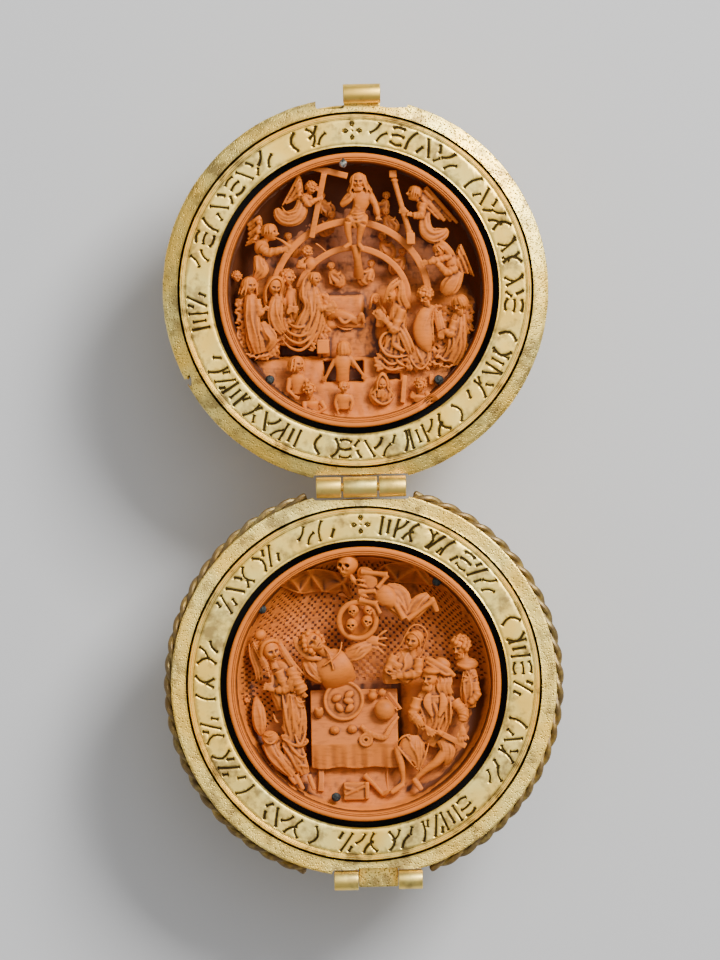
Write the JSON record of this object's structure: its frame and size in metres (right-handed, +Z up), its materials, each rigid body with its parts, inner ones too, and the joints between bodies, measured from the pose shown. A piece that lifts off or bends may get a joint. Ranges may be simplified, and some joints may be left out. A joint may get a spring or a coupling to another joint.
{
  "type": "hinged boxwood prayer bead",
  "caption": "Ball-shaped bead in silver-gilt, hinged open to show two round boxwood carvings in high relief, each inside a banded collar.",
  "frame": {"origin": "on the surface that the two domes stand on, under the middle of the open bead, which is under its hinge", "axes": "+Z up out of the carvings, +Y along the open bead towards the upper half with the bevelled flange, +X along the hinge to the right as the carvings are read"},
  "size_m": [0.058, 0.1166, 0.0265],
  "materials": {
    "gilt": "worn silver-gilt, stippled flange, smooth domed back",
    "gilt_band": "burnished silver-gilt with shallow engraved strokes",
    "gilt_rope": "twisted gilt wire, dark in the grooves",
    "gilt_fitting": "worn gilt, dark in the corners",
    "boxwood": "warm red-brown polished boxwood, dark in the hollows",
    "dark_pin": "dark green-grey corroded metal",
    "silver_nail": "dull silvery metal"
  },
  "bodies": {
    "lower_half": {"lower_bowl": "gilt", "lower_collar": "gilt_band", "rope_border_left": "gilt_rope", "rope_border_right": "gilt_rope", "lower_roundel": "boxwood", "lower_pin_left": "dark_pin", "lower_pin_right": "dark_pin", "lower_pin_foot": "dark_pin", "hinge_knuckle_left": "gilt_fitting", "hinge_knuckle_right": "gilt_fitting", "hinge_pin": "gilt_fitting", "clasp_knuckle_left": "gilt_fitting", "clasp_knuckle_right": "gilt_fitting"},
    "upper_half": {"upper_bowl": "gilt", "upper_collar": "gilt_band", "upper_roundel": "boxwood", "upper_stud_left": "dark_pin", "upper_stud_right": "dark_pin", "upper_nail": "silver_nail", "hinge_knuckle_middle": "gilt_fitting", "clasp_tab": "gilt_fitting"}
  },
  "joints": [
    {"name": "bead_hinge", "type": "hinge", "parent": "lower_half", "child": "upper_half", "pos_m": [0, 0, 0.025], "axis": [1, 0, 0], "range_deg": [0, 180]}
  ]
}
